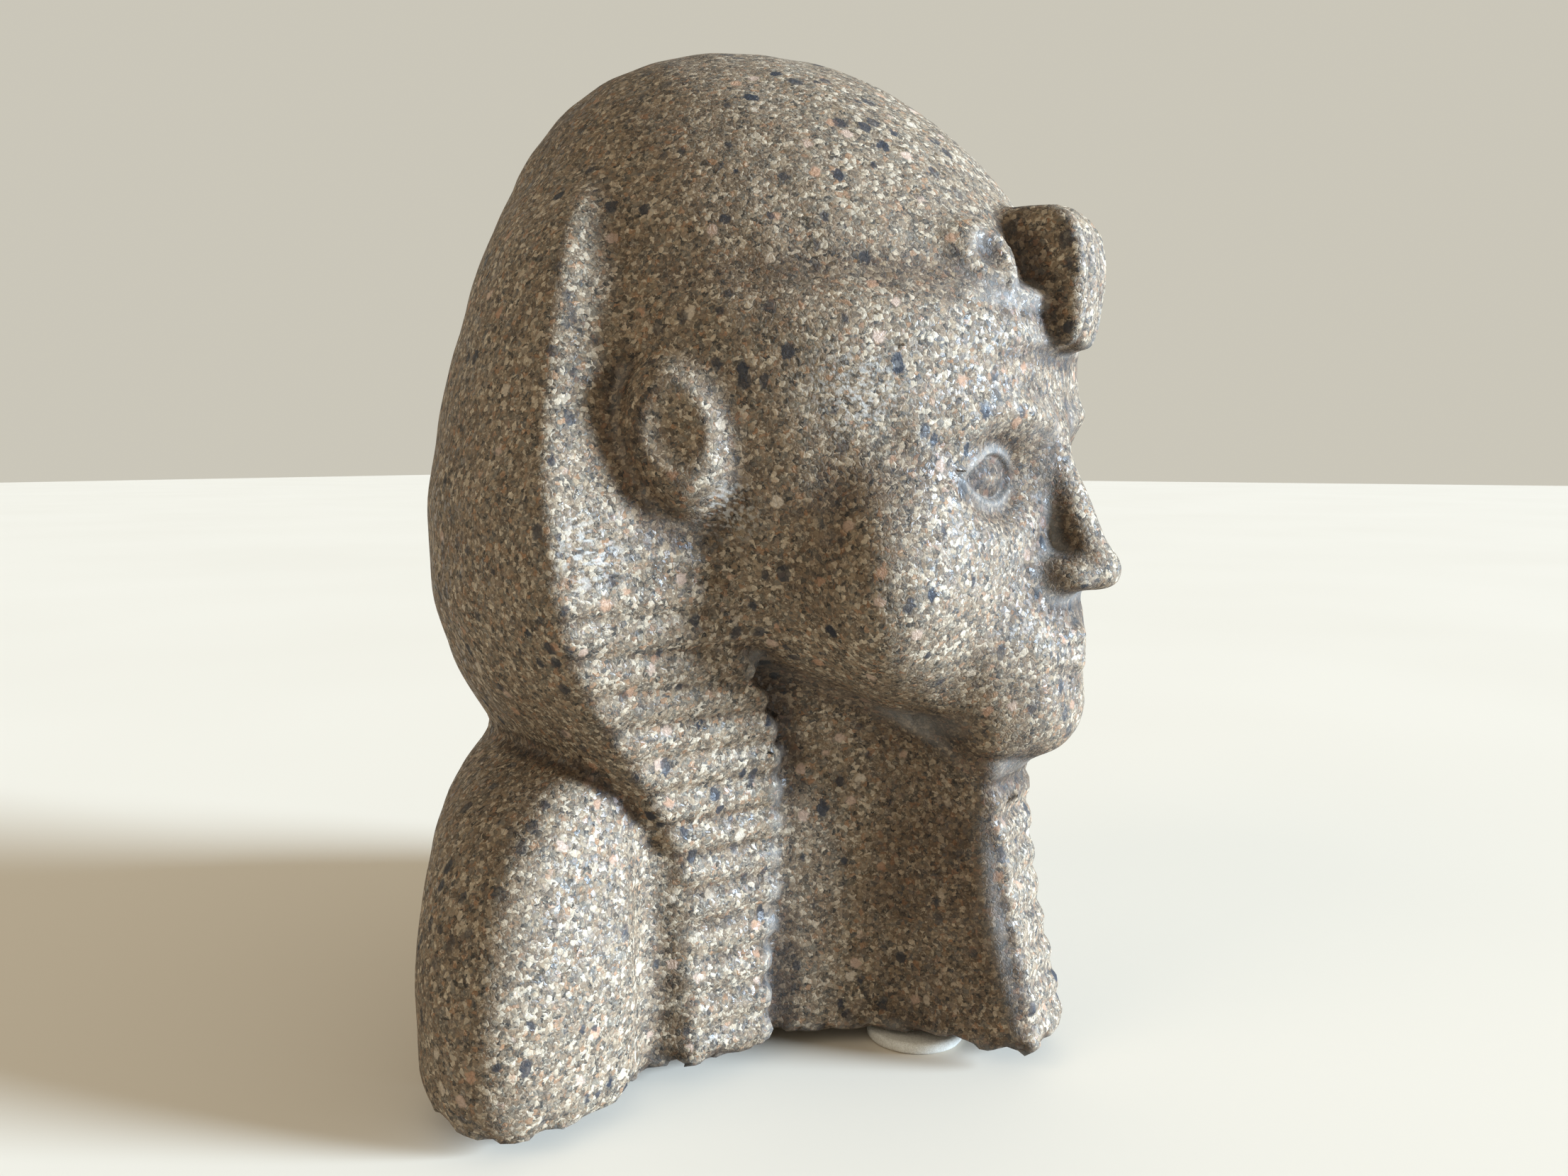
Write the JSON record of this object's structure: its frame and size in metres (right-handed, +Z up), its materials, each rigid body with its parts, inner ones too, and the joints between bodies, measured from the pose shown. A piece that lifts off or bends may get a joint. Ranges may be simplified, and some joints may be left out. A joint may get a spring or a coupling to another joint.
{
  "type": "pharaoh bust",
  "caption": "Head-and-shoulders bust of a pharaoh in speckled stone, with a bag headdress, striped lappets, brow cobra and long beard, resting on small felt pads.",
  "frame": {"origin": "on the table, under the middle of the overall box", "axes": "+X to the figure's left, -Y the way the figure faces, +Z up"},
  "size_m": [0.191, 0.156, 0.22],
  "materials": {
    "stone": "semi-polished, granular",
    "felt": "matte"
  },
  "bodies": {
    "root": {"bust": "stone", "pad_front": "felt", "pad_rear_left": "felt", "pad_rear_right": "felt"}
  },
  "joints": []
}
